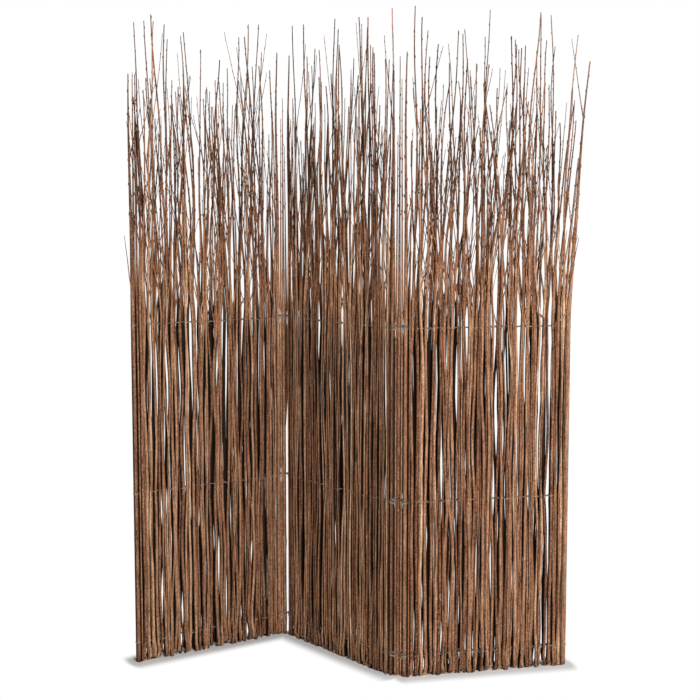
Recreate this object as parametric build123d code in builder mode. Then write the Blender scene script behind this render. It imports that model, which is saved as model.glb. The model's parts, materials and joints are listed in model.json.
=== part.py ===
"""Folding screen of willow rods: three panels in a zigzag, joined by wire ties.

Each panel is two layers of upright willow rods, front and back, with three thin steel
cross rods between them. A binding wire runs round both layers and the two end rods at
each cross rod. The rods stand on their cut butts, where they are pressed into one
wall. They taper upwards, part from each other and end in thin tips of uneven height
that lean together in bunches. The end rods of two neighbouring panels pass through
the same wire ties, so the panels fold face to face.

Units are millimetres. +Z is up, and a viewer in front of the screen looks along +Y.
Each panel is drawn in its own frame, with X along the panel from its left end to its
right end, Y from front to back and Z up from the floor, and is then set in its place.
The origin is on the floor, in the middle of the space that the screen takes.
"""

import math
import os

from build123d import *

# Rods of a layer, with each radius taken across the corners of a six-sided rod
rods_per_layer = 33
rod_pitch = 13.7
butt_radius = 8.0
knee_radius = 5.6
tip_radius = 1.7
knee_height = 1010.0
lowest_tip = 1440.0
highest_tip = 1810.0
butt_unevenness = 5.0
long_butt_every = 3

# End rods, which the ties turn on, and which have many sides so that they turn freely
round_sides = 14
cross_rod_sides = 8
end_rod_radius = 7.2
end_rod_knee_radius = 6.4
end_rod_tip_radius = 2.4
end_rod_height = 1690.0

# Cross rods, binding wires and ties
cross_rod_radius = 2.0
wire_thickness = 1.6
tie_wire = 2.4
tie_height = 7.2
seat_clearance = 0.3
turning_clearance = 0.35
fold_clearance = 0.6
rows = {"bottom": 62.0, "middle": 500.0, "top": 985.0}

# How the rods wander: at the butt, at the knee and at the tip, and at a free edge
butt_wander = 0.5
knee_wander = 1.7
tip_wander = 2.4
bunch_length = 118.0
bunch_lean = 9.5
edge_lean = 34.0
edge_sharpness = 6
tie_sharpness = 8

# Directions of the panels, seen from above, in degrees from +X
headings = {"left": 33.0, "centre": -51.0, "right": 12.0}

# Which scatter of heights and leanings the front and back layer of a panel take
seeds = {"left": (1, 2), "centre": (3, 4), "right": (9, 6)}

# On which side, if any, a panel has a free edge that can spread: -1 left, 1 right
free_sides = {"left": -1, "centre": 0, "right": 1}

flat_share = math.cos(math.radians(30))
ring_reach = end_rod_radius + turning_clearance + tie_wire
half_row = rod_pitch * (rods_per_layer - 1) / 2
half_panel = half_row + butt_radius + seat_clearance + ring_reach


def scatter(*keys):
    """A fixed number from -1 to 1 for each set of keys, spread as if by chance."""
    total = sum(key * weight for key, weight in zip(keys, (12.9898, 78.233, 37.719)))
    return 2 * ((math.sin(total) * 43758.5453) % 1) - 1


def between(low, high, share):
    """The value that lies this share of the way from low to high."""
    return low + (high - low) * share


def layer_offset(radius):
    """How far a rod of this radius stands from the panel's middle plane."""
    return cross_rod_radius + seat_clearance + radius * flat_share


def wire_depth(height):
    """How far a binding wire's middle is from the panel's middle plane."""
    radius = between(butt_radius, knee_radius, height / knee_height)
    outer_face = layer_offset(radius) + radius * flat_share
    return outer_face + seat_clearance + wire_thickness / 2


def end_rod_radius_at(height):
    """The radius of an end rod at a height below its knee."""
    return between(end_rod_radius, end_rod_knee_radius, height / knee_height)


panel_half_depth = max(wire_depth(row) for row in rows.values()) + wire_thickness / 2
tie_length = 2 * panel_half_depth + fold_clearance


def edge_shift(x, free_side):
    """How far a free edge spreads outwards at the tips, for a rod standing at x."""
    return free_side * edge_lean * max(0.0, free_side * x / half_row) ** edge_sharpness


def tip_shift(x, seed, free_side):
    """How far a tip leans along the panel: bunches, chance and the free edge."""
    wave = bunch_lean * math.sin(2 * math.pi * x / bunch_length + seed)
    held = 1 - abs(x / half_row) ** tie_sharpness
    return (wave + tip_wander * scatter(x, seed, 1)) * held + edge_shift(x, free_side)


def make_rod_layer(seed, side, free_side):
    """One layer of rods, grown together at the butts: side is -1 for the front."""
    rods = []
    for i in range(rods_per_layer):
        x = -half_row + rod_pitch * i
        held = 1 - abs(x / half_row) ** tie_sharpness
        long_butt = i % long_butt_every == 0
        butt = 0.0 if long_butt else butt_unevenness * (1 + scatter(i, seed, 3)) / 2
        height = between(lowest_tip, highest_tip, (1 + scatter(i, seed, 2)) / 2)
        stations = (
            (butt, butt_radius, butt_wander * scatter(i, seed, 4) * held),
            (knee_height, knee_radius, knee_wander * scatter(i, seed, 5) * held),
            (height, tip_radius, tip_shift(x, seed, free_side)),
        )
        sections = []
        for level, radius, shift in stations:
            depth = side * layer_offset(max(radius, knee_radius))
            with BuildSketch(Plane.XY.offset(level), mode=Mode.PRIVATE) as section:
                with Locations((x + shift, depth)):
                    RegularPolygon(radius, 6)
            sections.append(section.sketch.face())
        rods.append(loft(sections=sections, ruled=True, mode=Mode.PRIVATE))
    with BuildPart() as layer:
        add(rods)
    return layer.part


def make_end_rod(end, free_side):
    """The rod at one end of a panel: end is -1 for the left and 1 for the right."""
    x = end * half_panel
    stations = (
        (0.0, end_rod_radius, 0.0),
        (knee_height, end_rod_knee_radius, 0.0),
        (end_rod_height, end_rod_tip_radius, edge_shift(x, free_side)),
    )
    sections = []
    for level, radius, shift in stations:
        with BuildSketch(Plane.XY.offset(level), mode=Mode.PRIVATE) as section:
            with Locations((x + shift, 0)):
                RegularPolygon(radius, round_sides)
        sections.append(section.sketch.face())
    with BuildPart() as end_rod:
        loft(sections=sections, ruled=True)
    return end_rod.part


def make_cross_rod(row):
    """A steel rod between the two layers, from one end rod to the other."""
    reach = half_panel - end_rod_radius_at(row) - seat_clearance
    with BuildPart() as cross_rod:
        with BuildSketch(Plane.YZ.offset(-reach)):
            with Locations((0, row)):
                RegularPolygon(cross_rod_radius, cross_rod_sides)
        extrude(amount=2 * reach)
    return cross_rod.part


def make_binding_wire(row):
    """A closed loop of wire round both layers and both end rods."""
    depth = wire_depth(row)
    shoulder = half_row + butt_radius / 2 + wire_thickness
    grip = end_rod_radius_at(row) + seat_clearance + wire_thickness / 2
    nose = half_panel + grip
    nose_depth = 0.75 * grip
    corners = [(shoulder, depth), (nose, nose_depth), (nose, -nose_depth), (shoulder, -depth)]
    corners += [(-x, y) for x, y in reversed(corners)]
    with BuildPart() as wire:
        with BuildSketch(Plane.XY.offset(row - wire_thickness / 2)) as loop:
            with BuildLine():
                Polyline(*corners, close=True)
            middle_line = make_face()
            offset(amount=wire_thickness / 2, kind=Kind.INTERSECTION)
            offset(
                middle_line,
                amount=-wire_thickness / 2,
                kind=Kind.INTERSECTION,
                mode=Mode.SUBTRACT,
            )
        extrude(amount=wire_thickness)
    return wire.part


def make_tie(row):
    """A wire tie: a ring for each of two end rods, and a twisted neck between them."""
    bottom = row + cross_rod_radius + seat_clearance
    hole = end_rod_radius_at(bottom) + turning_clearance
    with BuildPart() as tie:
        with BuildSketch(Plane.XY.offset(bottom)):
            with Locations((0, 0), (tie_length, 0)):
                RegularPolygon(hole + tie_wire, round_sides)
            with Locations((tie_length / 2, 0)):
                Rectangle(tie_length - 2 * hole - tie_wire, 2 * tie_wire)
            with Locations((0, 0), (tie_length, 0)):
                RegularPolygon(hole, round_sides, major_radius=False, mode=Mode.SUBTRACT)
        extrude(amount=tie_height)
    return tie.part


def towards(start, heading, distance):
    """The point at this distance from start, in this heading."""
    angle = math.radians(heading)
    return start + Vector(math.cos(angle), math.sin(angle)) * distance


# Each panel turns as far from its tie as the tie turns from the centre panel
rear_tie_heading = (headings["left"] + headings["centre"]) / 2
front_tie_heading = (headings["centre"] + headings["right"]) / 2

# The hinge axes, from the rear fold on the left to the front fold on the right,
# measured from the middle of the centre panel
rear_axis_centre = towards(Vector(0, 0), headings["centre"], -half_panel)
rear_axis_left = towards(rear_axis_centre, rear_tie_heading, -tie_length)
front_axis_centre = towards(Vector(0, 0), headings["centre"], half_panel)
front_axis_right = towards(front_axis_centre, front_tie_heading, tie_length)
middles = {
    "left": towards(rear_axis_left, headings["left"], -half_panel),
    "centre": Vector(0, 0),
    "right": towards(front_axis_right, headings["right"], half_panel),
}

# The pieces, by node name, each in its own place
pieces = {}
for panel in headings:
    place = Location(middles[panel], (0, 0, headings[panel]))
    free_side = free_sides[panel]
    front_seed, back_seed = seeds[panel]
    pieces[f"{panel}_front_rods"] = place * make_rod_layer(front_seed, -1, free_side)
    pieces[f"{panel}_back_rods"] = place * make_rod_layer(back_seed, 1, free_side)
    pieces[f"{panel}_left_end_rod"] = place * make_end_rod(-1, free_side)
    pieces[f"{panel}_right_end_rod"] = place * make_end_rod(1, free_side)
    for name, row in rows.items():
        pieces[f"{panel}_{name}_cross_rod"] = place * make_cross_rod(row)
        pieces[f"{panel}_{name}_binding_wire"] = place * make_binding_wire(row)
for name, row in rows.items():
    rear_place = Location(rear_axis_left, (0, 0, rear_tie_heading))
    pieces[f"rear_{name}_tie"] = rear_place * make_tie(row)
    front_place = Location(front_axis_centre, (0, 0, front_tie_heading))
    pieces[f"front_{name}_tie"] = front_place * make_tie(row)

# The origin goes to the middle of the space that the screen takes on the floor
boxes = [piece.bounding_box() for piece in pieces.values()]
to_origin = Vector(
    -(min(box.min.X for box in boxes) + max(box.max.X for box in boxes)) / 2,
    -(min(box.min.Y for box in boxes) + max(box.max.Y for box in boxes)) / 2,
)
hinge_axes = {
    "rear_tie_turn": rear_axis_centre + to_origin,
    "left_panel_turn": rear_axis_left + to_origin,
    "front_tie_turn": front_axis_centre + to_origin,
    "right_panel_turn": front_axis_right + to_origin,
}

os.makedirs("parts", exist_ok=True)
for name, piece in pieces.items():
    piece.position += to_origin
    piece.label = name
    export_step(piece, f"parts/{name}.step")
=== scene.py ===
"""Dresses the willow screen: bark rods with twigs and buds, stitched wires and wire ties.

Units are metres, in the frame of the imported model. Each panel and each fold is drawn in
its own frame, with X along it, Y from front to back and Z up from the floor, and is then
set where the model's cross rods and hinges say. A panel's X runs from its left end to its
right end, and a fold's from the centre panel's end rod to its neighbour's.
"""

import json
import math

import bpy
import numpy as np
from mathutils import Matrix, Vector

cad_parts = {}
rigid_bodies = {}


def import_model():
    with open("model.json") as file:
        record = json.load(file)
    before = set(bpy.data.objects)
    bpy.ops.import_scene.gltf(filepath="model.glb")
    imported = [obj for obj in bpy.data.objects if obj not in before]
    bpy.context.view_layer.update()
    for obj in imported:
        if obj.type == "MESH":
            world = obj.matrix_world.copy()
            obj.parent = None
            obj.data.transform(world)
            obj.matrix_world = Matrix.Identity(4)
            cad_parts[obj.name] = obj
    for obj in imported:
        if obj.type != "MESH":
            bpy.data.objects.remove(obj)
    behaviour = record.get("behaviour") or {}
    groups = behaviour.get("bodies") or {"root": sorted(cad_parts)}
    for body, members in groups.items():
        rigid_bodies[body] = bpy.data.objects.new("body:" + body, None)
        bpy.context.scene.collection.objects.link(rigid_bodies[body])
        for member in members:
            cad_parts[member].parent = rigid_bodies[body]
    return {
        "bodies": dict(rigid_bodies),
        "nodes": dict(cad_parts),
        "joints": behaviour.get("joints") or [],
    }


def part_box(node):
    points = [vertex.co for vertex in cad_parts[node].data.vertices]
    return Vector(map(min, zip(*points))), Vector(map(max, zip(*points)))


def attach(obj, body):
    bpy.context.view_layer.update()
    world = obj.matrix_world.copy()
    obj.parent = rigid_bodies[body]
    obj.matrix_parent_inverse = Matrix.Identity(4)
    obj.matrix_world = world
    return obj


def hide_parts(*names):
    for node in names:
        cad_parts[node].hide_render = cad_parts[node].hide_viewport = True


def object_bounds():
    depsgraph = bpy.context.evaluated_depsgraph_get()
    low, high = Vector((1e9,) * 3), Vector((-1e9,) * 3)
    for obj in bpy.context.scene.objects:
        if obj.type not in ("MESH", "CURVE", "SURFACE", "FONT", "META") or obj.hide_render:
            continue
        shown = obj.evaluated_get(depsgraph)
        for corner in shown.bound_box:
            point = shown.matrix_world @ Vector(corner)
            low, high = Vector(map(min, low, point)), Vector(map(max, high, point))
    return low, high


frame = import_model()
cad_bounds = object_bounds()

# The model's own values, as in its source
MM = 0.001
RODS_PER_LAYER = 33
ROD_PITCH = 13.7 * MM
KNEE_HEIGHT = 1010 * MM
LOWEST_TIP = 1440 * MM
HIGHEST_TIP = 1810 * MM
LONG_BUTT_EVERY = 3
END_ROD_RADIUS = 7.2 * MM
END_ROD_KNEE_RADIUS = 6.4 * MM
END_ROD_HEIGHT = 1690 * MM
CROSS_ROD_RADIUS = 2 * MM
SEAT_CLEARANCE = 0.3 * MM
TURNING_CLEARANCE = 0.35 * MM
ROWS = {"bottom": 62 * MM, "middle": 500 * MM, "top": 985 * MM}
BUTT_WANDER = 0.5 * MM
KNEE_WANDER = 1.7 * MM
BUNCH_LENGTH = 118 * MM
EDGE_SHARPNESS = 6
TIE_SHARPNESS = 8
SEEDS = {"left": (1, 2), "centre": (3, 4), "right": (9, 6)}
FREE_SIDES = {"left": -1, "centre": 0, "right": 1}
HALF_ROW = ROD_PITCH * (RODS_PER_LAYER - 1) / 2

# The hinges that each panel and each fold is measured by
PANEL_HINGES = {"left": "left_panel_turn", "centre": "front_tie_turn", "right": "right_panel_turn"}
FOLD_HINGES = {
    "rear": ("rear_tie_turn", "left_panel_turn"),
    "front": ("front_tie_turn", "right_panel_turn"),
}

# A rod's radii, rings and sides
BUTT_RADIUS = 5.8 * MM
THICKEST_BUTT = 1.03
KNEE_RADIUS = 4.2 * MM
TIP_RADIUS = 1.2 * MM
TIP_RADIUS_SHARES = (0.8, 1.3)
RADIUS_SPREAD = 0.18
TAPER = 0.62
ROUGHNESS = 0.03
KNOT_SHARE = 0.05
KNOT_SWELL = 1.16
ROD_SIDES = 10
RING_SPACING = 26 * MM
THIN_RING_SPACING = 38 * MM
FEWEST_RINGS = 8

# How far a rod bows between the wires, and how much of that it bows to the front or back
BOW = 4.5 * MM
DEPTH_BOW_SHARE = 0.35

# Two slow waves along a rod, which fade out towards the floor
SWAY = 3.2 * MM
SWAY_LENGTHS = (0.28, 0.9)
SWAY_SHARES = (0.3, 1)
SWAY_FADE = 0.1
PHASES = (0, 6.28)

# How the rods stray at the foot, at each wire and at the knee
FOOT_SPLAY = 5.0 * MM
FOOT_SPLAY_TOP = 0.8 * ROWS["bottom"]
FOOT_RISE = 11 * MM
ROW_SHIFT = 4.5 * MM
KNEE_LEAN = 7.5 * MM

# Rods that stand close together above the top wire, with gaps of light between them
CLUSTER_SHIFT = 5.0 * MM
CLUSTER_LENGTH = 64 * MM
CLUSTER_HEIGHT = 1200 * MM
CLUSTER_REACH = 170 * MM

# How the tops lean in bunches and by chance, spread at a free edge, bow and waver
BUNCH_LEAN = 25 * MM
TIP_LEAN = 23 * MM
EDGE_LEANS = {"left": 2 * MM, "centre": 0.0, "right": 30 * MM}
TOP_BOW = 15 * MM
TOP_WAVER = 2.2 * MM
TIP_DEPTH = 15 * MM
TALLER_SHARES = (1.0, 1.06)
TOP_MARGIN = 40 * MM

# How pale the rods are, and the shade painted dark on their flanks and on the side towards the middle,
# where rods shade each other
ROD_TONE = 0.42
TONE_SPREAD = 0.11
TONE_LIMITS = (0.05, 0.8)
TIP_DARKNESS = 0.17
CREASE_SHADE_TOP = 1.3
CREASE_SHADE_FADE = 0.4
INNER_SHADE = 0.45

# The slants of a cut butt: along the panel, and from its face to its middle
SIDE_SLANTS = (-0.4, 0.4)
FACE_SLANTS = (-0.3, 1.1)

# Thin rods in the valleys between a layer's rods: how many, their depth and their radius
FILLERS = ((8, 4.8 * MM, 2.7 * MM), (22, 12.0 * MM, 2.9 * MM))
FILLER_KNEE_SHARES = (0.85, 1.1)
FILLER_KNEE_DEPTH = 10.5 * MM
FILLER_TIP_RADIUS = 0.9 * MM
FILLER_HEIGHTS = (1020 * MM, 1700 * MM)
FILLER_BUTTS = (1, 12)
FILLER_SIDES = 6

# Thin rods beside the end rods: reach, depth and radius at a free end and beside a tie
FREE_END_FILLERS = ((8.9 * MM, 4.5 * MM, 2.8 * MM), (10.0 * MM, 11.0 * MM, 2.6 * MM))
TIED_END_FILLERS = ((7.5 * MM, 5.1 * MM, 1.9 * MM), (9.2 * MM, 11.8 * MM, 2.5 * MM))
END_FILLER_BUTTS = (1, 6)
END_FILLER_LEAN = 6 * MM
END_FILLER_TIP_DEPTH = 5 * MM

# The end rods' look
END_ROD_SIDES = 12
END_ROD_TWIGS = 4
END_ROD_TONES = (0.3, 0.55)
END_ROD_TIP_SHARE = 1.3
END_ROD_HEIGHT_SHARES = (0.99, 1.05)
END_ROD_WAVER = 3 * MM
END_ROD_DEPTH_WAVER = 2 * MM

# Side twigs; SPREADs are how far past the row of rods a twig or a tip may reach
LOWEST_TWIG = 930 * MM
TWIG_START_SHARE = 0.8
TWIGS_PER_ROD = 1.0
TWIG_LENGTHS = (90 * MM, 300 * MM)
SHORTEST_TWIG = 40 * MM
TWIG_TOP_MARGIN = 20 * MM
TWIG_ANGLES = (5, 16)
TWIG_CURLS = (-0.35, 0.2)
TWIG_WAVER = 1.2 * MM
TWIG_DEPTH_SHARE = 0.8
TWIG_ROOT_SHARE = 0.62
TWIG_ROOT_RADII = (1.1 * MM, 2.1 * MM)
TWIG_TIP_RADIUS = 0.75 * MM
TWIG_TONES = (-0.05, 0.1)
TWIG_SPREAD = 14 * MM
FREE_TWIG_SPREAD = 34 * MM
TWIG_SIDES = 5
TWIG_RINGS = 8

# Buds; a bud's rings are its reach, its height and its radius, in its own sizes
BUD_SPACING = 34 * MM
BUD_GAPS = (0.4, 2.2)
LOWEST_BUD = 1280 * MM
BUD_TOP_MARGIN = 5 * MM
BUD_SIZES = (0.75, 1.1)
BUD_DARKNESS = 0.12
BUD_RINGS = ((0.5, -2.2, 0.45), (1.0, 0.0, 1.0), (1.15, 3.2, 0.2))
BUD_SIDES = 5

# The wire of a row, which is stitched over one or two rods and under one or two
WIRE_RADIUS = 0.8 * MM
WIRE_SIDES = 6
STITCHED_RODS = (1, 1, 2)
STITCH_TILT = 1.6 * MM
STITCH_TILT_SHARES = (-0.5, 1.5)
STITCH_LEVELS = (-2.0, 2.0)
STITCH_SHOULDER = 0.22 * ROD_PITCH
STITCH_SINK = 0.4
END_TURNS = 2.3
END_TURN_DROP = 1.2 * MM

# The ties, whose two strands are twisted by the end rods and part round the fold's rod
TIE_WIRE_RADIUS = 1.1 * MM
TIE_TURNS = 3
TWISTED_SHARE = 0.12
PARTING_SHARE = 0.22
HALF_TURN_SHARE = 0.2
STRAND_LIFT = 0.4 * MM

# The rod that stands in each fold, held by the ties' strands
FOLD_RADII = (5.6 * MM, 5.5 * MM, 0.9 * MM)
FOLD_HEIGHTS = {"rear": 1640 * MM, "front": 1720 * MM}
FOLD_SLANT = (0.3, -0.5)

# The thin shoots beside it: their side, and the heights that they run between
FOLD_SHOOTS = {
    "rear": {1: (3 * MM, 1580 * MM), -1: (600 * MM, 1500 * MM)},
    "front": {-1: (3 * MM, 1510 * MM), 1: (3 * MM, 1660 * MM)},
}
FOLD_SHOOT_RADIUS = 3.2 * MM
FOLD_SHOOT_ANGLE = 10
FOLD_SHOOT_CLEARANCE = 0.4 * MM
FOLD_SHOOT_TONES = (0.35, 0.5)
FOLD_SHOOT_LEAN = 0.45
FOLD_SHOOT_START = 150 * MM

# The floor, and the shade round the feet of each panel, which goes with the panel
FLOOR_REACH = 14.0
FLOOR_WHITE = (0.85, 0.85, 0.85, 1)
SHADED_WHITE = (0.6, 0.6, 0.6, 1)
SHADE_NEAR = 22 * MM
SHADE_FAR = 75 * MM
SHADE_END_REACH = 11 * MM
SHADE_END_FADE = 2.5

# Light from all sides
WORLD_COLOUR = (1.0, 0.97, 0.93, 1)
WORLD_STRENGTH = 0.25

# Camera, in the photograph's place
CAMERA_PLACE = (-0.0326, -3.80, 1.30)
CAMERA_PITCH = 5.92
CAMERA_YAW = -0.44
CAMERA_LENS = 67.9

BLACK = (0, 0, 0, 1)
WHITE = (1, 1, 1, 1)

hinges = {joint["name"]: np.array(joint["pos_m"][:2]) for joint in frame["joints"]}


def scatter(*keys):
    """A fixed number from -1 to 1 for each set of keys, spread as if by chance."""
    total = sum(key * weight for key, weight in zip(keys, (12.9898, 78.233, 37.719)))
    return 2 * ((math.sin(total) * 43758.5453) % 1) - 1


def between(low, high, share):
    """The value that lies this share of the way from low to high."""
    return low + (high - low) * share


def smooth(share):
    """Eases a share from 0 to 1."""
    share = np.clip(share, 0, 1)
    return share * share * (3 - 2 * share)


def rod_radius(height):
    """A rod's usual radius at a height below the knee."""
    return between(BUTT_RADIUS, KNEE_RADIUS, height / KNEE_HEIGHT)


def end_rod_radius(height):
    """An end rod's radius at a height below the knee."""
    return between(END_ROD_RADIUS, END_ROD_KNEE_RADIUS, height / KNEE_HEIGHT)


def layer_depth(radius):
    """How far a rod of this radius stands from the panel's middle plane."""
    return CROSS_ROD_RADIUS + SEAT_CLEARANCE + radius


def freedom(x):
    """How freely a rod at x may lean: 1 in the middle of a panel, 0 beside its end rods."""
    return 1 - abs(x / HALF_ROW) ** TIE_SHARPNESS


def edge_shift(panel, x):
    """How far a free edge spreads outwards at the tips, for a rod standing at x."""
    side = panel.free_side
    return side * EDGE_LEANS[panel.name] * max(0.0, side * x / HALF_ROW) ** EDGE_SHARPNESS


def tip_reach(panel, x):
    """How far from the panel's middle a tip or twig may lean, on the side of x."""
    return HALF_ROW + TWIG_SPREAD + (FREE_TWIG_SPREAD if np.sign(x) == panel.free_side else 0)


def lean_tip(panel, x, seed, dice):
    """Where the tip of a rod that stands at x is: bunches, chance and a free edge."""
    bunch = BUNCH_LEAN * math.sin(2 * math.pi * x / BUNCH_LENGTH + seed)
    tip = x + (bunch + TIP_LEAN * dice.normal()) * freedom(x) + edge_shift(panel, x)
    return float(np.clip(tip, -tip_reach(panel, -1), tip_reach(panel, 1)))


class Place:
    """A panel's or a fold's own frame, and the way from there into the row frame."""

    def __init__(self, name, body, origin, along):
        self.name = name
        self.body = body
        self.origin = origin
        self.along = along
        self.back = np.array([-along[1], along[0]])

    def to_row(self, points):
        """Points of this frame, in the row frame."""
        flat = points[:, :1] * self.along + points[:, 1:2] * self.back + self.origin
        return np.concatenate([flat, points[:, 2:3]], axis=1)


class Panel(Place):
    """A panel, measured from its middle."""

    def __init__(self, name):
        low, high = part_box(f"{name}_middle_cross_rod")
        middle = np.array([(low[0] + high[0]) / 2, (low[1] + high[1]) / 2])
        to_hinge = hinges[PANEL_HINGES[name]] - middle
        self.half_length = float(np.linalg.norm(to_hinge))
        self.free_side = FREE_SIDES[name]
        along = to_hinge / self.half_length * (-1 if name == "right" else 1)
        super().__init__(name, f"{name}_panel", middle, along)


class Fold(Place):
    """The gap between two end rods, measured from the centre panel's end rod."""

    def __init__(self, name):
        start, end = (hinges[hinge] for hinge in FOLD_HINGES[name])
        self.length = float(np.linalg.norm(end - start))
        super().__init__(name, f"{name}_ties", start, (end - start) / self.length)


class Bundle:
    """Collects the tubes of one piece in a panel or a fold, and makes one mesh of them."""

    def __init__(self, name, place):
        self.name = name
        self.place = place
        self.points = []
        self.faces = []
        self.tones = []
        self.crease_shades = []
        self.finishes = []
        self.count = 0

    def tube(self, path, radii, sides, tone=0.5, reference=(1, 0, 0), cut=None, inner=0):
        """A closed tube along path, with its sides counted from the reference direction.

        cut is a butt's slant as (x, y) slopes, and gives it a pale end. The tube's flanks
        are painted dark as shade, and so is its side towards +Y times inner.
        """
        path = np.asarray(path, float)
        radii = np.broadcast_to(np.asarray(radii, float), len(path))
        reference = np.asarray(reference, float)
        along = np.gradient(path, axis=0)
        along /= np.linalg.norm(along, axis=1, keepdims=True)
        across = reference - along * (along @ reference)[:, None]
        across /= np.linalg.norm(across, axis=1, keepdims=True)
        other = np.cross(along, across)
        angles = np.linspace(0, 2 * math.pi, sides, endpoint=False)
        cosines = np.cos(angles)[None, :, None]
        sines = np.sin(angles)[None, :, None]
        rim = cosines * across[:, None] + sines * other[:, None]
        rings = path[:, None] + rim * radii[:, None, None]
        if cut is not None:
            lift = (rings[0, :, 0] - path[0, 0]) * cut[0] + (rings[0, :, 1] - path[0, 1]) * cut[1]
            rings[0, :, 2] = path[0, 2] + lift - lift.min()
        index = self.count + np.arange(len(path) * sides).reshape(len(path), sides)
        after = np.roll(index, -1, axis=1)
        quads = np.stack([index[:-1], after[:-1], after[1:], index[1:]], axis=-1).reshape(-1, 4)
        self.faces += quads.tolist()
        self.finishes += [0] * len(quads)
        self.faces.append(index[0, ::-1].tolist())
        self.faces.append(index[-1].tolist())
        self.finishes += [1 if cut is not None else 0, 0]
        self.points.append(rings.reshape(-1, 3))
        tones = tone - TIP_DARKNESS * smooth((path[:, 2] - KNEE_HEIGHT) / (LOWEST_TIP - KNEE_HEIGHT))
        self.tones.append(np.repeat(tones, sides))
        # Painted shade: the flanks, where rods touch, and the side towards the panel's middle get a
        # darkening share, which fades out higher up the rod
        inner_shade = np.clip(INNER_SHADE + inner * np.sin(angles), 0, 1) * abs(inner)
        painted_shade = np.maximum(np.abs(np.cos(angles)), inner_shade)
        crease = painted_shade[None, :] * smooth((CREASE_SHADE_TOP - path[:, 2:3]) / CREASE_SHADE_FADE)
        self.crease_shades.append(crease.reshape(-1))
        self.count += len(path) * sides

    def make(self, finishes, slot, *nodes):
        """The mesh, with its materials, riding on its body in place of the nodes."""
        mesh = bpy.data.meshes.new(self.name)
        points = self.place.to_row(np.concatenate(self.points))
        mesh.from_pydata(points.tolist(), [], self.faces)
        mesh.polygons.foreach_set("use_smooth", [len(face) == 4 for face in self.faces])
        mesh.polygons.foreach_set("material_index", self.finishes)
        for name, values in (("tone", self.tones), ("crease", self.crease_shades)):
            attribute = mesh.attributes.new(name, "FLOAT", "POINT")
            attribute.data.foreach_set("value", np.concatenate(values))
        for finish in finishes:
            mesh.materials.append(finish)
        piece = bpy.data.objects.new(self.name, mesh)
        bpy.context.scene.collection.objects.link(piece)
        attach(piece, self.place.body)
        if nodes:
            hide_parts(*nodes)


class Shader:
    """A short way to write a material's nodes."""

    def __init__(self, name):
        self.material = bpy.data.materials.new(name)
        self.material.use_nodes = True
        self.tree = self.material.node_tree
        self.shader = self.tree.nodes["Principled BSDF"]

    def node(self, kind, **inputs):
        """A new node, with values or links for its inputs by name."""
        node = self.tree.nodes.new(kind)
        for name, value in inputs.items():
            self.set(node.inputs[name.replace("_", " ")], value)
        return node

    def set(self, socket, value):
        """Gives a socket a link or a value."""
        if isinstance(value, bpy.types.NodeSocket):
            self.tree.links.new(value, socket)
        else:
            socket.default_value = value

    def attribute(self, name):
        """A value that the mesh holds at each point."""
        node = self.node("ShaderNodeAttribute")
        node.attribute_name = name
        return node.outputs["Fac"]

    def noise(self, scale, detail=3.0, roughness=0.55):
        """Noise in the object's own coordinates, stretched by scale."""
        place = self.node("ShaderNodeTexCoord").outputs["Object"]
        place = self.node("ShaderNodeMapping", Vector=place, Scale=scale).outputs["Vector"]
        node = self.node("ShaderNodeTexNoise", Vector=place, Scale=1.0, Detail=detail, Roughness=roughness)
        return node.outputs["Fac"]

    def math(self, operation, *values):
        """The result of an operation on up to three values or links."""
        node = self.tree.nodes.new("ShaderNodeMath")
        node.operation = operation
        for socket, value in zip(node.inputs, values):
            self.set(socket, value)
        return node.outputs["Value"]

    def ramp(self, value, stops):
        """A colour that goes through stops of (place, colour) as value goes from 0 to 1."""
        node = self.tree.nodes.new("ShaderNodeValToRGB")
        elements = node.color_ramp.elements
        while len(elements) < len(stops):
            elements.new(0.5)
        for element, (place, shade) in zip(elements, stops):
            element.position = place
            element.color = shade
        self.set(node.inputs["Fac"], value)
        return node.outputs["Color"]

    def mask(self, value, start, end):
        """Black where value is below start, white where it is above end."""
        return self.ramp(value, [(start, BLACK), (end, WHITE)])

    def mix(self, share, first, second):
        """Goes from the first colour to the second as share goes from 0 to 1."""
        node = self.tree.nodes.new("ShaderNodeMix")
        node.data_type = "RGBA"
        self.set(node.inputs["Factor"], share)
        self.set(node.inputs[6], first)
        self.set(node.inputs[7], second)
        return node.outputs[2]

    def reach(self, place, direction, start):
        """How far a place is from start, measured along a direction on the floor, either way."""
        dot = self.tree.nodes.new("ShaderNodeVectorMath")
        dot.operation = "DOT_PRODUCT"
        self.set(dot.inputs[0], place)
        self.set(dot.inputs[1], (*direction, 0))
        from_start = self.math("SUBTRACT", dot.outputs["Value"], float(start @ direction))
        return self.math("ABSOLUTE", from_start)

    def bump(self, height, strength, distance):
        """Relief of a height, which distance gives in metres."""
        node = self.node("ShaderNodeBump", Height=height, Strength=strength, Distance=distance)
        self.set(self.shader.inputs["Normal"], node.outputs["Normal"])


def colour(red, green, blue):
    """A colour of 0 to 255 values, as Blender's linear values."""
    parts = [part / 255 for part in (red, green, blue)]
    linear = [part / 12.92 if part <= 0.04045 else ((part + 0.055) / 1.055) ** 2.4 for part in parts]
    return (*linear, 1)


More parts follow.
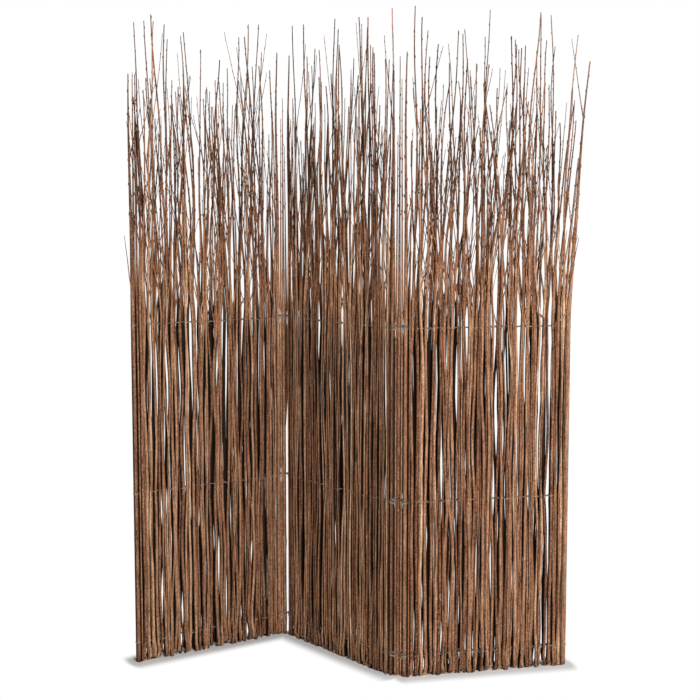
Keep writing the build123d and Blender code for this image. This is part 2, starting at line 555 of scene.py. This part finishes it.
def make_bark():
    """Dry willow bark: streaks along the rod, patches of rust brown, pale specks and painted shade in the
    creases between rods.
    """
    bark = Shader("willow_bark")
    streaks = bark.noise((420, 420, 22), detail=5, roughness=0.7)
    patches = bark.noise((60, 60, 9), detail=2)
    mottle = bark.noise((420, 420, 160), detail=2, roughness=0.7)
    mixed = bark.math("ADD", streaks, bark.attribute("tone"))
    mixed = bark.math("MULTIPLY_ADD", patches, 0.5, mixed)
    mixed = bark.math("ADD", mottle, mixed)
    mixed = bark.math("MULTIPLY_ADD", mixed, 1.25, -1.6)
    base = bark.ramp(
        mixed,
        [
            (0.0, colour(32, 16, 8)),
            (0.25, colour(84, 50, 32)),
            (0.5, colour(128, 88, 63)),
            (0.75, colour(162, 124, 95)),
            (1.0, colour(206, 174, 144)),
        ],
    )
    rust = bark.mask(bark.noise((95, 95, 16), detail=2), 0.56, 0.72)
    base = bark.mix(bark.math("MULTIPLY", rust, 0.4), base, colour(156, 90, 54))
    specks = bark.mask(bark.noise((500, 500, 240), detail=1), 0.60, 0.68)
    base = bark.mix(bark.math("MULTIPLY", specks, 0.4), base, colour(196, 164, 136))
    # Painted shade: near black on the rods' flanks and inner sides, where shadow between rods would fall
    painted_shade = bark.mask(bark.attribute("crease"), 0.45, 0.92)
    base = bark.mix(bark.math("MULTIPLY", painted_shade, 0.95), base, colour(10, 6, 4))
    bark.set(bark.shader.inputs["Base Color"], base)
    grain = bark.noise((1500, 1500, 90))
    rough = bark.math("MULTIPLY_ADD", grain, 0.25, 0.48)
    bark.set(bark.shader.inputs["Roughness"], rough)
    bark.shader.inputs["Specular IOR Level"].default_value = 0.1
    bark.bump(grain, strength=0.5, distance=0.6 * MM)
    return bark.material


def make_cut_wood():
    """Pale, uneven wood of a cut butt."""
    wood = Shader("cut_willow")
    grain = wood.noise((700, 700, 700))
    base = wood.ramp(grain, [(0.3, colour(146, 100, 62)), (0.7, colour(216, 170, 120))])
    wood.set(wood.shader.inputs["Base Color"], base)
    wood.shader.inputs["Roughness"].default_value = 0.8
    wood.bump(grain, strength=0.3, distance=0.5 * MM)
    return wood.material


def make_steel(name, dark, pale, metallic, rust_share):
    """Wire or rod of steel, from dark to pale, with patches of rust of this strength."""
    steel = Shader(name)
    wear = steel.noise((240, 240, 240), detail=4)
    base = steel.ramp(wear, [(0.35, dark), (0.65, pale)])
    rust = steel.mask(steel.noise((90, 90, 90)), 0.55, 0.65)
    base = steel.mix(steel.math("MULTIPLY", rust, rust_share), base, colour(112, 66, 40))
    steel.set(steel.shader.inputs["Base Color"], base)
    steel.set(steel.shader.inputs["Roughness"], steel.math("MULTIPLY_ADD", wear, 0.3, 0.3))
    steel.shader.inputs["Metallic"].default_value = metallic
    steel.bump(wear, strength=0.2, distance=0.2 * MM)
    return steel.material


willow = (make_bark(), make_cut_wood())
wire_steel = make_steel("galvanised_wire", colour(96, 86, 76), colour(168, 156, 140), 0.3, 0.5)
tie_steel = make_steel("weathered_wire", colour(70, 62, 56), colour(120, 112, 102), 0.6, 0.6)
rod_steel = make_steel("cross_rod_steel", colour(66, 56, 50), colour(104, 92, 82), 0.7, 0.7)


def bows(heights, dice, amount, waves=1):
    """How a rod bows between the wires that hold it, in so many half waves."""
    held = [0, *ROWS.values()]
    bow = np.zeros(len(heights))
    for low, high in zip(held, held[1:]):
        inside = (heights > low) & (heights < high)
        share = (heights[inside] - low) / (high - low)
        bow[inside] = amount * dice.uniform(-1, 1) * np.sin(math.pi * waves * share) / waves
    return bow


def grow_buds(bundle, path, radii, tone, dice):
    """Buds that sit on alternate sides of a rod or a twig."""
    side = dice.choice((-1, 1))
    height = max(path[0, 2], LOWEST_BUD) + dice.uniform(0, BUD_SPACING)
    while height < path[-1, 2] - BUD_TOP_MARGIN:
        radius = float(np.interp(height, path[:, 2], radii))
        x = float(np.interp(height, path[:, 2], path[:, 0]))
        y = float(np.interp(height, path[:, 2], path[:, 1]))
        size = dice.uniform(*BUD_SIZES) * MM + 0.25 * radius
        out = side * (radius + size * 0.2)
        bud = [(x + out * reach, y, height + rise * size) for reach, rise, _ in BUD_RINGS]
        thick = [share * size for _, _, share in BUD_RINGS]
        bundle.tube(bud, thick, BUD_SIDES, tone - BUD_DARKNESS)
        side = -side
        height += BUD_SPACING * dice.uniform(*BUD_GAPS)


def grow_twigs(bundle, path, radii, tone, dice, how_many):
    """Side twigs that leave a rod's upper part and rise beside it."""
    steps = np.linspace(0, 1, TWIG_RINGS)
    for _ in range(how_many):
        start = dice.uniform(LOWEST_TWIG, between(LOWEST_TWIG, path[-1, 2], TWIG_START_SHARE))
        at = int(np.searchsorted(path[:, 2], start))
        if at >= len(path) - 1:
            continue
        root = path[at]
        lean = math.radians(dice.uniform(*TWIG_ANGLES)) * dice.choice((-1, 1))
        length = min(dice.uniform(*TWIG_LENGTHS), cad_bounds[1][2] + TWIG_TOP_MARGIN - root[2])
        if length < SHORTEST_TWIG:
            continue
        angle = lean + 2 * dice.uniform(*TWIG_CURLS) * lean * steps
        step = length / (TWIG_RINGS - 1)
        x = root[0] + np.concatenate([[0], np.cumsum(np.sin(angle[1:]))]) * step
        z = root[2] + np.concatenate([[0], np.cumsum(np.cos(angle[1:]))]) * step
        y = root[1] + (dice.uniform(-TIP_DEPTH, TIP_DEPTH) * TWIG_DEPTH_SHARE - root[1]) * smooth(steps)
        x += TWIG_WAVER * np.sin(steps * dice.uniform(4, 8) + dice.uniform(0, 6)) * steps
        if abs(x[-1]) > max(tip_reach(bundle.place, root[0]), abs(root[0])):
            x = 2 * root[0] - x
        root_radius = np.clip(radii[at] * TWIG_ROOT_SHARE, *TWIG_ROOT_RADII)
        radius = between(root_radius, TWIG_TIP_RADIUS, steps**0.8)
        twig = np.stack([x, y, z], axis=1)
        bundle.tube(twig, radius, TWIG_SIDES, tone + dice.uniform(*TWIG_TONES))
        grow_buds(bundle, twig, radius, tone, dice)


def stray(panel, dice, z, upper, foot, waver, sway):
    """How far a rod strays along X: bows, slow waves, its top, its foot, the wires' hold and
    the clusters above the top wire."""
    x = bows(z, dice, BOW) + bows(z, dice, BOW, waves=2)
    for _ in range(2):
        turn = 2 * math.pi * z / dice.uniform(*SWAY_LENGTHS) + dice.uniform(*PHASES)
        x += SWAY * dice.uniform(*SWAY_SHARES) * np.sin(turn) * smooth(z / SWAY_FADE) * sway
    x += TOP_BOW * dice.uniform(-1, 1) * np.sin(math.pi * upper) * np.sin(waver + 3 * upper)
    x += TOP_WAVER * np.sin(waver + 13 * upper) * upper
    x += FOOT_SPLAY * dice.uniform(-1, 1) * np.clip(1 - z / FOOT_SPLAY_TOP, 0, 1) * sway
    shifts = [ROW_SHIFT * dice.uniform(-1, 1) for _ in ROWS]
    x += np.interp(z, [*ROWS.values(), KNEE_HEIGHT + CLUSTER_REACH], [*shifts, 0]) * sway
    cluster = math.sin(2 * math.pi * foot / CLUSTER_LENGTH + len(panel.name))
    x += CLUSTER_SHIFT * cluster * np.exp(-(((z - CLUSTER_HEIGHT) / CLUSTER_REACH) ** 2)) * sway
    return x


def grow_rod(bundle, dice, places, heights, radii, depths, sides, slant=(0, 0), sway=None):
    """One rod with knots and buds.

    places along X, radii, and depths along Y are each given for the foot, the knee and the
    tip, and heights for the butt and the top. sway is how freely the rod strays, from 0 to
    1, and a rod with none is straight.
    """
    foot, knee, tip = places
    butt, top = heights
    foot_radius, knee_radius, tip_radius = radii
    foot_depth, knee_depth, tip_depth = depths
    spacing = RING_SPACING if sides == ROD_SIDES else THIN_RING_SPACING
    count = max(FEWEST_RINGS, int((top - butt) / spacing))
    z = np.linspace(butt, top, count)
    lower = np.clip((z - butt) / (KNEE_HEIGHT - butt), 0, 1)
    upper = np.clip((z - KNEE_HEIGHT) / (top - KNEE_HEIGHT), 0, 1)
    waver = dice.uniform(*PHASES)
    x = between(foot, knee, lower) + (tip - knee) * upper**1.5
    if sway is not None:
        x += stray(bundle.place, dice, z, upper, foot, waver, sway)
    y = between(foot_depth, knee_depth, lower) + bows(z, dice, BOW * DEPTH_BOW_SHARE)
    y += (tip_depth - knee_depth) * smooth(upper)
    lower_radius = between(foot_radius, knee_radius, lower)
    radius = np.where(upper > 0, between(knee_radius, tip_radius, upper**TAPER), lower_radius)
    radius *= np.where(dice.random(count) < KNOT_SHARE, KNOT_SWELL, 1)
    radius *= 1 + ROUGHNESS * dice.standard_normal(count).clip(-2, 2)
    tone = float(np.clip(dice.normal(ROD_TONE, TONE_SPREAD), *TONE_LIMITS))
    path = np.stack([x, y, z], axis=1)
    bundle.tube(path, radius, sides, tone, cut=slant, inner=-int(np.sign(foot_depth)))
    grow_buds(bundle, path, radius, tone, dice)
    return path, radius, tone


def grow_row(bundle, dice, side, seed):
    """The rods of a layer that the model has too."""
    for i in range(RODS_PER_LAYER):
        place = -HALF_ROW + ROD_PITCH * i
        sway = freedom(place)
        butt = 0.0 if i % LONG_BUTT_EVERY == 0 else FOOT_RISE * (1 + scatter(i, seed, 3)) / 2
        height = between(LOWEST_TIP, HIGHEST_TIP, (1 + scatter(i, seed, 2)) / 2)
        height = min(height * dice.uniform(*TALLER_SHARES), HIGHEST_TIP + TOP_MARGIN)
        foot = place + BUTT_WANDER * scatter(i, seed, 4) * sway
        knee = place + (KNEE_WANDER * scatter(i, seed, 5) + KNEE_LEAN * dice.uniform(-1, 1)) * sway
        tip = lean_tip(bundle.place, place, seed, dice)
        spread = 1 + RADIUS_SPREAD * dice.uniform(-1, 1)
        foot_radius = BUTT_RADIUS * min(spread, THICKEST_BUTT)
        knee_radius = KNEE_RADIUS * spread
        tip_radius = TIP_RADIUS * dice.uniform(*TIP_RADIUS_SHARES)
        slant = (dice.uniform(*SIDE_SLANTS), side * dice.uniform(*FACE_SLANTS))
        tip_depth = dice.uniform(0, TIP_DEPTH)
        depths = [side * depth for depth in (layer_depth(foot_radius), layer_depth(knee_radius), tip_depth)]
        path, radius, tone = grow_rod(
            bundle,
            dice,
            (foot, knee, tip),
            (butt, height),
            (foot_radius, knee_radius, tip_radius),
            depths,
            ROD_SIDES,
            slant,
            sway,
        )
        grow_twigs(bundle, path, radius, tone, dice, dice.poisson(TWIGS_PER_ROD))


def grow_end_fillers(bundle, dice, side):
    """Thin rods that close the slits beside the end rods."""
    for end in (-1, 1):
        fillers = FREE_END_FILLERS if end == bundle.place.free_side else TIED_END_FILLERS
        for reach, depth, thick in fillers:
            place = end * (HALF_ROW + reach)
            tip = place + edge_shift(bundle.place, place) - end * END_FILLER_LEAN
            heights = (dice.uniform(*END_FILLER_BUTTS) * MM, dice.uniform(*FILLER_HEIGHTS))
            radii = (thick, thick, FILLER_TIP_RADIUS)
            depths = (side * depth, side * depth, side * END_FILLER_TIP_DEPTH)
            grow_rod(bundle, dice, (place, place, tip), heights, radii, depths, FILLER_SIDES)


def grow_fillers(bundle, dice, side, seed):
    """Thin rods in some of the valleys between the layer's rods, with a twig each."""
    for how_many, depth, thick in FILLERS:
        for valley in dice.permutation(RODS_PER_LAYER - 1)[:how_many]:
            place = -HALF_ROW + ROD_PITCH * (valley + 0.5)
            sway = freedom(place)
            height = dice.uniform(*FILLER_HEIGHTS)
            tip = lean_tip(bundle.place, place, seed, dice)
            knee = place + KNEE_LEAN * dice.uniform(-1, 1) * sway
            radii = (thick, thick * dice.uniform(*FILLER_KNEE_SHARES), FILLER_TIP_RADIUS)
            heights = (dice.uniform(*FILLER_BUTTS) * MM, height)
            knee_depth = min(depth, FILLER_KNEE_DEPTH)
            depths = (side * depth, side * knee_depth, side * dice.uniform(0, TIP_DEPTH))
            path, radius, tone = grow_rod(
                bundle, dice, (place, knee, tip), heights, radii, depths, FILLER_SIDES, sway=sway
            )
            grow_twigs(bundle, path, radius, tone, dice, 1)


def make_layer(panel, side, seed):
    """One layer of a panel's rods: side is -1 for the front and 1 for the back."""
    face = "front" if side < 0 else "back"
    bundle = Bundle(f"{panel.name}_{face}_willow", panel)
    dice = np.random.default_rng(seed)
    grow_row(bundle, dice, side, seed)
    grow_end_fillers(bundle, dice, side)
    grow_fillers(bundle, dice, side, seed)
    bundle.make(willow, "willow_rods", f"{panel.name}_{face}_rods")


def make_end_rods(panel):
    """The two thicker rods that the ties hold."""
    bundle = Bundle(f"{panel.name}_end_willow", panel)
    dice = np.random.default_rng(40 + len(panel.name))
    for end in (-1, 1):
        place = end * panel.half_length
        height = END_ROD_HEIGHT * dice.uniform(*END_ROD_HEIGHT_SHARES)
        z = np.linspace(0, height, int(height / RING_SPACING))
        lower = np.clip(z / KNEE_HEIGHT, 0, 1)
        upper = np.clip((z - KNEE_HEIGHT) / (height - KNEE_HEIGHT), 0, 1)
        x = place + edge_shift(panel, place) * upper**1.1 + END_ROD_WAVER * np.sin(7 * upper) * upper
        y = END_ROD_DEPTH_WAVER * np.sin(9 * upper + end) * upper
        lower_radius = between(END_ROD_RADIUS, END_ROD_KNEE_RADIUS, lower)
        upper_radius = between(END_ROD_KNEE_RADIUS, TIP_RADIUS * END_ROD_TIP_SHARE, upper)
        radius = np.where(upper > 0, upper_radius, lower_radius)
        radius *= 1 - ROUGHNESS * dice.random(len(z))
        path = np.stack([x, y, z], axis=1)
        tone = dice.uniform(*END_ROD_TONES)
        bundle.tube(path, radius, END_ROD_SIDES, tone, cut=(0.2 * end, 0.3))
        grow_buds(bundle, path, radius, tone, dice)
        grow_twigs(bundle, path, radius, tone, dice, END_ROD_TWIGS)
    bundle.make(willow, "end_rods", f"{panel.name}_left_end_rod", f"{panel.name}_right_end_rod")


def rounded(points, rounds=2):
    """The path with its corners cut off, as a bent wire has them."""
    points = np.asarray(points, float)
    for _ in range(rounds):
        near = between(points[:-1], points[1:], 0.25)
        far = between(points[:-1], points[1:], 0.75)
        middle = np.stack([near, far], axis=1).reshape(-1, 3)
        points = np.concatenate([points[:1], middle, points[-1:]])
    return points


def coil(x, grip, start, pitch, turns, count, facing=0.0):
    """Turns of wire round an upright rod at x, which rise by pitch each from the start."""
    turn = np.linspace(0, 2 * math.pi * turns, count)
    height = start + turn / (2 * math.pi) * pitch
    return np.stack([x + grip * np.cos(turn + facing), grip * np.sin(turn + facing), height], axis=1)


def make_stitches(panel, name, row):
    """A row's wires: one stitched along each face, with turns round the end rods."""
    bundle = Bundle(f"{panel.name}_{name}_stitches", panel)
    dice = np.random.default_rng(int(row / MM) + len(panel.name))
    radius = rod_radius(row)
    outer = layer_depth(radius) + radius + WIRE_RADIUS
    inner = layer_depth(radius) - radius * STITCH_SINK
    end_depth = end_rod_radius(row) + WIRE_RADIUS
    for side in (-1, 1):
        points = [(-panel.half_length, side * end_depth, row)]
        first = int(dice.integers(0, 2))
        while first < RODS_PER_LAYER - 1:
            over = int(dice.choice(STITCHED_RODS))
            left = -HALF_ROW + ROD_PITCH * (first - 0.5)
            right = left + ROD_PITCH * over
            first += over + int(dice.choice(STITCHED_RODS))
            tilt = STITCH_TILT * dice.uniform(*STITCH_TILT_SHARES)
            level = row + dice.uniform(*STITCH_LEVELS) * MM
            points.append((left, side * inner, level - tilt))
            points.append((left + STITCH_SHOULDER, side * outer, level - tilt * 0.7))
            points.append((right - STITCH_SHOULDER, side * outer, level + tilt * 0.7))
            points.append((right, side * inner, level + tilt))
        points.append((panel.half_length, side * end_depth, row))
        bundle.tube(rounded(points), WIRE_RADIUS, WIRE_SIDES, reference=(0, 0, 1))
    grip = end_rod_radius(row) + 0.8 * WIRE_RADIUS
    for end in (-1, 1):
        turns = coil(end * panel.half_length, grip, row - END_TURN_DROP, -2 * WIRE_RADIUS, END_TURNS, 50)
        bundle.tube(turns, WIRE_RADIUS, WIRE_SIDES, reference=(0, 0, 1))
    bundle.make((wire_steel,), "binding_wire", f"{panel.name}_{name}_binding_wire")


def near_wires(heights):
    """How far from an end rod's axis a fold's shoot stays to clear the wires round that rod."""
    nearest = np.min([np.abs(heights - row) for row in ROWS.values()], axis=0)
    return (END_ROD_RADIUS + 2 * WIRE_RADIUS) * (nearest < 0.7 * RING_SPACING)


def make_fold_rod(fold):
    """The rod and the shoots that close most of the gap between two panels."""
    bundle = Bundle(f"{fold.name}_fold_willow", fold)
    dice = np.random.default_rng(70 + len(fold.name))
    middle = fold.length / 2
    heights = (0.0, FOLD_HEIGHTS[fold.name])
    grow_rod(bundle, dice, (middle,) * 3, heights, FOLD_RADII, (0.0,) * 3, ROD_SIDES, FOLD_SLANT)
    angle = math.radians(FOLD_SHOOT_ANGLE)
    for side, (root, top) in FOLD_SHOOTS[fold.name].items():
        z = np.linspace(root, top, int((top - root) / (RING_SPACING / 2)))
        upper = np.clip((z - KNEE_HEIGHT) / (top - KNEE_HEIGHT), 0, 1)
        radius = between(FOLD_SHOOT_RADIUS, FILLER_TIP_RADIUS, upper)
        clear = np.maximum(end_rod_radius(z) + FOLD_SHOOT_CLEARANCE, near_wires(z))
        beside = clear + FOLD_SHOOT_RADIUS
        reach = (middle - beside * math.cos(angle)) * (1 - FOLD_SHOOT_LEAN * upper)
        if root > ROWS["bottom"]:
            reach *= smooth((z - root) / FOLD_SHOOT_START)
        path = np.stack([middle + side * reach, side * beside * math.sin(angle), z], axis=1)
        tone = dice.uniform(*FOLD_SHOOT_TONES)
        bundle.tube(path, radius, ROD_SIDES, tone)
        grow_buds(bundle, path, radius, tone, dice)
    bundle.make(willow, "willow_rods")


def make_tie(fold, name, row):
    """A wire tie: turns of wire round both end rods, and two strands round the fold's rod."""
    bundle = Bundle(f"{fold.name}_{name}_tie_wire", fold)
    low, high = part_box(f"{fold.name}_{name}_tie")
    grip = end_rod_radius(row) + TURNING_CLEARANCE + TIE_WIRE_RADIUS
    start = low[2] + TIE_WIRE_RADIUS
    pitch = (high[2] - low[2] - 2 * TIE_WIRE_RADIUS) / TIE_TURNS
    for place, facing in ((0.0, 0.0), (fold.length, math.pi)):
        turns = coil(place, grip, start, pitch, TIE_TURNS, 72, facing)
        bundle.tube(turns, TIE_WIRE_RADIUS, WIRE_SIDES, reference=(0, 0, 1))
    middle = (low[2] + high[2]) / 2
    round_rod = between(FOLD_RADII[0], FOLD_RADII[1], row / KNEE_HEIGHT) + TIE_WIRE_RADIUS
    share = np.linspace(0, 1, 48)
    from_end = np.minimum(share, 1 - share)
    parted = smooth((from_end - TWISTED_SHARE) / PARTING_SHARE)
    turn = math.pi * (smooth(share / HALF_TURN_SHARE) + smooth((share - 1) / HALF_TURN_SHARE + 1))
    for strand in (-1, 1):
        spread = strand * between(1.2 * TIE_WIRE_RADIUS, round_rod, parted)
        height = middle + spread * np.sin(turn) * (1 - parted) + strand * STRAND_LIFT
        twist = np.stack([between(grip, fold.length - grip, share), spread * np.cos(turn), height], axis=1)
        bundle.tube(twist, TIE_WIRE_RADIUS, WIRE_SIDES, reference=(0, 0, 1))
    bundle.make((tie_steel,), "ties", f"{fold.name}_{name}_tie")


def make_floor(panels):
    """A wide white floor, which the camera sees as plain white away from the panels' feet."""
    white = Shader("floor_white")
    white.shader.inputs["Roughness"].default_value = 1.0
    white.shader.inputs["Specular IOR Level"].default_value = 0.0
    away = FLOOR_REACH
    for panel in panels:
        place = white.node("ShaderNodeTexCoord")
        place.object = frame["bodies"][panel.body]
        along = white.reach(place.outputs["Object"], panel.along, panel.origin)
        across = white.reach(place.outputs["Object"], panel.back, panel.origin)
        past_end = white.math("SUBTRACT", along, panel.half_length + SHADE_END_REACH)
        past_end = white.math("MULTIPLY", white.math("MAXIMUM", past_end, 0.0), SHADE_END_FADE)
        squares = white.math("ADD", white.math("POWER", past_end, 2.0), white.math("POWER", across, 2.0))
        away = white.math("MINIMUM", away, white.math("SQRT", squares))
    far = white.node("ShaderNodeMapRange", Value=away, From_Min=SHADE_NEAR, From_Max=SHADE_FAR)
    far.interpolation_type = "SMOOTHSTEP"
    camera_ray = white.node("ShaderNodeLightPath").outputs["Is Camera Ray"]
    white.set(white.shader.inputs["Base Color"], white.mix(camera_ray, FLOOR_WHITE, SHADED_WHITE))
    glow = white.node("ShaderNodeEmission", Color=WHITE, Strength=1.0)
    blend = white.node("ShaderNodeMixShader")
    white.set(blend.inputs[0], white.math("MULTIPLY", far.outputs["Result"], camera_ray))
    white.set(blend.inputs[1], white.shader.outputs[0])
    white.set(blend.inputs[2], glow.outputs[0])
    white.set(white.tree.nodes["Material Output"].inputs["Surface"], blend.outputs[0])
    mesh = bpy.data.meshes.new("floor")
    corners = [(x * FLOOR_REACH, y * FLOOR_REACH, 0) for x, y in ((-1, -1), (1, -1), (1, 1), (-1, 1))]
    mesh.from_pydata(corners, [], [(0, 1, 2, 3)])
    mesh.materials.append(white.material)
    floor = bpy.data.objects.new("floor", mesh)
    bpy.context.scene.collection.objects.link(floor)


def make_world():
    """Even light, seen as plain white by the camera and in reflections."""
    world = bpy.data.worlds.new("studio")
    bpy.context.scene.world = world
    world.use_nodes = True
    tree = world.node_tree
    light = tree.nodes["Background"]
    light.inputs["Color"].default_value = WORLD_COLOUR
    light.inputs["Strength"].default_value = WORLD_STRENGTH
    white = tree.nodes.new("ShaderNodeBackground")
    white.inputs["Color"].default_value = WHITE
    path = tree.nodes.new("ShaderNodeLightPath")
    seen = path.outputs["Is Camera Ray"]
    for ray in ("Is Glossy Ray", "Is Transmission Ray"):
        either = tree.nodes.new("ShaderNodeMath")
        either.operation = "MAXIMUM"
        tree.links.new(seen, either.inputs[0])
        tree.links.new(path.outputs[ray], either.inputs[1])
        seen = either.outputs[0]
    choice = tree.nodes.new("ShaderNodeMixShader")
    tree.links.new(seen, choice.inputs[0])
    tree.links.new(light.outputs[0], choice.inputs[1])
    tree.links.new(white.outputs[0], choice.inputs[2])
    tree.links.new(choice.outputs[0], tree.nodes["World Output"].inputs["Surface"])


def make_lamp(name, place, target, size, power):
    """A soft square lamp at place, aimed at target."""
    lamp = bpy.data.lights.new(name, "AREA")
    lamp.size = size
    lamp.energy = power
    holder = bpy.data.objects.new(name, lamp)
    holder.location = place
    aim = np.array(target) - np.array(place)
    tilt = math.acos(-aim[2] / np.linalg.norm(aim))
    holder.rotation_euler = (tilt, 0, math.atan2(aim[1], aim[0]) - math.pi / 2)
    bpy.context.scene.collection.objects.link(holder)


def make_camera():
    """The camera, which sees the screen as the photograph does."""
    camera = bpy.data.objects.new("camera", bpy.data.cameras.new("camera"))
    camera.data.lens = CAMERA_LENS
    camera.location = CAMERA_PLACE
    camera.rotation_euler = (math.radians(90 - CAMERA_PITCH), 0, math.radians(CAMERA_YAW))
    bpy.context.scene.collection.objects.link(camera)
    bpy.context.scene.camera = camera


panels = [Panel(name) for name in ("left", "centre", "right")]
for panel in panels:
    front_seed, back_seed = SEEDS[panel.name]
    make_layer(panel, -1, front_seed)
    make_layer(panel, 1, back_seed)
    make_end_rods(panel)
    for name, row in ROWS.items():
        make_stitches(panel, name, row)
        cross_rod = frame["nodes"][f"{panel.name}_{name}_cross_rod"]
        for slot in cross_rod.material_slots:
            slot.material = rod_steel
for fold in (Fold("rear"), Fold("front")):
    make_fold_rod(fold)
    for name, row in ROWS.items():
        make_tie(fold, name, row)

make_floor(panels)
make_world()
make_lamp("key", place=(1.2, -4.15, 2.9), target=(0.1, 0, 0.9), size=0.9, power=262)
make_lamp("fill", place=(3.0, -1.2, 2.0), target=(0.3, 0, 0.9), size=1.5, power=35)
make_camera()
bpy.context.scene.view_settings.view_transform = "Standard"
